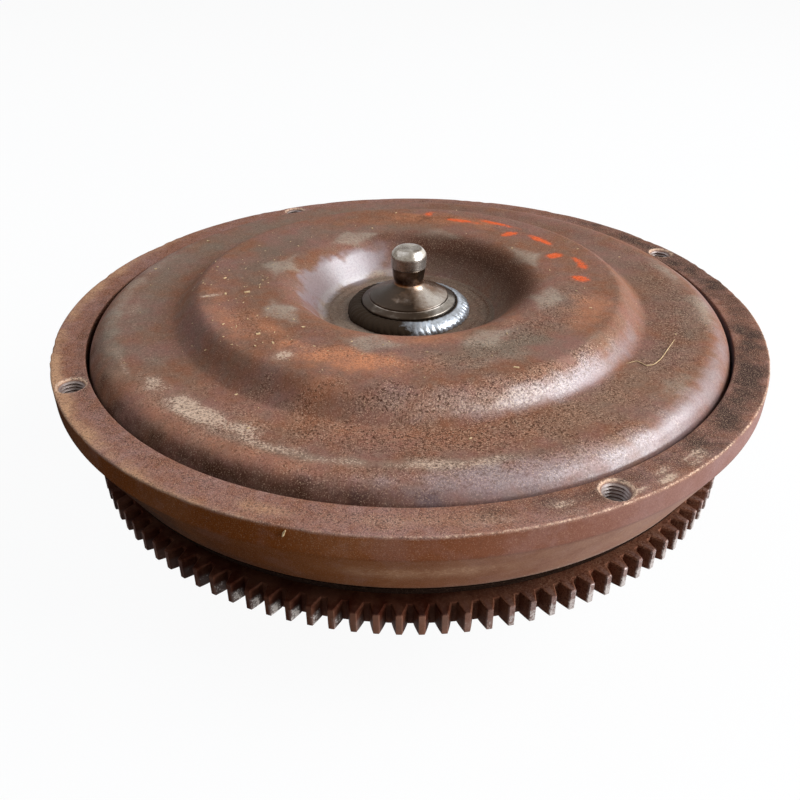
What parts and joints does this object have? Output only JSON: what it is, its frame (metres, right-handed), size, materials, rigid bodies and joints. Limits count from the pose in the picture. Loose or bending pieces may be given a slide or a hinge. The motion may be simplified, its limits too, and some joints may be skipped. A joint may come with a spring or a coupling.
{
  "type": "torque converter",
  "caption": "Welded torque converter: domed pressed cover with pilot stub, coned mounting ring with tapped holes, starter ring gear and drive neck round a turbine and stator.",
  "frame": {"origin": "middle of the drive neck's end face, on the spin axis", "axes": "+Z along the spin axis from the drive neck to the pilot; +X to the right and -Y towards the viewer of the picture"},
  "size_m": [0.32, 0.32, 0.1408],
  "materials": {
    "rusty_pressed_steel": "rusted, worn to bare metal in places",
    "rusty_ring_steel": "rusted, gritty",
    "dark_gear_steel": "dark, oiled, worn tooth flanks",
    "bright_turned_steel": "turned bright",
    "weld_metal": "as welded",
    "machined_hub_steel": "machined",
    "oiled_sheet_steel": "oiled",
    "cast_aluminium": "as cast",
    "hardened_steel": "ground",
    "spring_steel": "blued",
    "bronze_washer": "plain"
  },
  "bodies": {
    "housing": {"front_cover": "rusty_pressed_steel", "pilot_boss": "bright_turned_steel", "pilot_weld_bead": "weld_metal", "mounting_ring": "rusty_ring_steel", "mounting_ring_weld": "weld_metal", "closure_weld": "weld_metal", "ring_gear": "dark_gear_steel", "impeller_shell": "rusty_pressed_steel", "impeller_vanes": "oiled_sheet_steel", "impeller_hub": "machined_hub_steel", "hub_weld_bead": "weld_metal", "front_thrust_washer": "bronze_washer", "rear_bearing_lower_race": "hardened_steel"},
    "turbine": {"turbine_shell": "oiled_sheet_steel", "turbine_vanes": "oiled_sheet_steel", "turbine_hub": "machined_hub_steel", "turbine_rivet_1": "machined_hub_steel", "turbine_rivet_2": "machined_hub_steel", "turbine_rivet_3": "machined_hub_steel", "turbine_rivet_4": "machined_hub_steel", "turbine_rivet_5": "machined_hub_steel", "turbine_rivet_6": "machined_hub_steel", "turbine_rivet_7": "machined_hub_steel", "turbine_rivet_8": "machined_hub_steel", "front_bearing_upper_race": "hardened_steel"},
    "inner_race": {"clutch_inner_race": "hardened_steel", "front_bearing_lower_race": "hardened_steel", "rear_bearing_upper_race": "hardened_steel"},
    "stator": {"stator_wheel": "cast_aluminium", "clutch_outer_race": "hardened_steel", "clutch_spring_1": "spring_steel", "clutch_spring_2": "spring_steel", "clutch_spring_3": "spring_steel", "clutch_spring_4": "spring_steel", "clutch_spring_5": "spring_steel", "clutch_spring_6": "spring_steel", "clutch_spring_7": "spring_steel", "clutch_spring_8": "spring_steel", "front_retainer_plate": "oiled_sheet_steel", "rear_retainer_plate": "oiled_sheet_steel", "front_snap_ring": "spring_steel", "rear_snap_ring": "spring_steel"},
    "front_cage": {"front_bearing_cage": "oiled_sheet_steel"},
    "rear_cage": {"rear_bearing_cage": "oiled_sheet_steel"},
    "roller_1": {"clutch_roller_1": "hardened_steel"},
    "roller_2": {"clutch_roller_2": "hardened_steel"},
    "roller_3": {"clutch_roller_3": "hardened_steel"},
    "roller_4": {"clutch_roller_4": "hardened_steel"},
    "roller_5": {"clutch_roller_5": "hardened_steel"},
    "roller_6": {"clutch_roller_6": "hardened_steel"},
    "roller_7": {"clutch_roller_7": "hardened_steel"},
    "roller_8": {"clutch_roller_8": "hardened_steel"}
  },
  "joints": [
    {"name": "turbine_spin", "type": "hinge", "parent": "housing", "child": "turbine", "pos_m": [0, 0, 0.0922], "axis": [0, 0, 1], "continuous": true},
    {"name": "inner_race_spin", "type": "hinge", "parent": "housing", "child": "inner_race", "pos_m": [0, 0, 0.0676], "axis": [0, 0, 1], "continuous": true},
    {"name": "stator_spin", "type": "hinge", "parent": "inner_race", "child": "stator", "pos_m": [0, 0, 0.0676], "axis": [0, 0, 1], "continuous": true},
    {"name": "front_cage_spin", "type": "hinge", "parent": "housing", "child": "front_cage", "pos_m": [0, 0, 0.0799], "axis": [0, 0, 1], "continuous": true},
    {"name": "rear_cage_spin", "type": "hinge", "parent": "housing", "child": "rear_cage", "pos_m": [0, 0, 0.0553], "axis": [0, 0, 1], "continuous": true},
    {"name": "roller_1_spin", "type": "hinge", "parent": "stator", "child": "roller_1", "pos_m": [0.0318, 0, 0.0676], "axis": [0, 0, 1], "continuous": true},
    {"name": "roller_2_spin", "type": "hinge", "parent": "stator", "child": "roller_2", "pos_m": [0.02249, 0.02249, 0.0676], "axis": [0, 0, 1], "continuous": true},
    {"name": "roller_3_spin", "type": "hinge", "parent": "stator", "child": "roller_3", "pos_m": [0, 0.0318, 0.0676], "axis": [0, 0, 1], "continuous": true},
    {"name": "roller_4_spin", "type": "hinge", "parent": "stator", "child": "roller_4", "pos_m": [-0.02249, 0.02249, 0.0676], "axis": [0, 0, 1], "continuous": true},
    {"name": "roller_5_spin", "type": "hinge", "parent": "stator", "child": "roller_5", "pos_m": [-0.0318, 0, 0.0676], "axis": [0, 0, 1], "continuous": true},
    {"name": "roller_6_spin", "type": "hinge", "parent": "stator", "child": "roller_6", "pos_m": [-0.02249, -0.02249, 0.0676], "axis": [0, 0, 1], "continuous": true},
    {"name": "roller_7_spin", "type": "hinge", "parent": "stator", "child": "roller_7", "pos_m": [0, -0.0318, 0.0676], "axis": [0, 0, 1], "continuous": true},
    {"name": "roller_8_spin", "type": "hinge", "parent": "stator", "child": "roller_8", "pos_m": [0.02249, -0.02249, 0.0676], "axis": [0, 0, 1], "continuous": true}
  ],
  "couplings": [
    {"joint": "front_cage_spin", "follows": "turbine_spin", "ratio": 0.5},
    {"joint": "rear_cage_spin", "follows": "inner_race_spin", "ratio": 0.5},
    {"joint": "roller_1_spin", "follows": "stator_spin", "ratio": 6.9},
    {"joint": "roller_2_spin", "follows": "stator_spin", "ratio": 6.9},
    {"joint": "roller_3_spin", "follows": "stator_spin", "ratio": 6.9},
    {"joint": "roller_4_spin", "follows": "stator_spin", "ratio": 6.9},
    {"joint": "roller_5_spin", "follows": "stator_spin", "ratio": 6.9},
    {"joint": "roller_6_spin", "follows": "stator_spin", "ratio": 6.9},
    {"joint": "roller_7_spin", "follows": "stator_spin", "ratio": 6.9},
    {"joint": "roller_8_spin", "follows": "stator_spin", "ratio": 6.9}
  ]
}
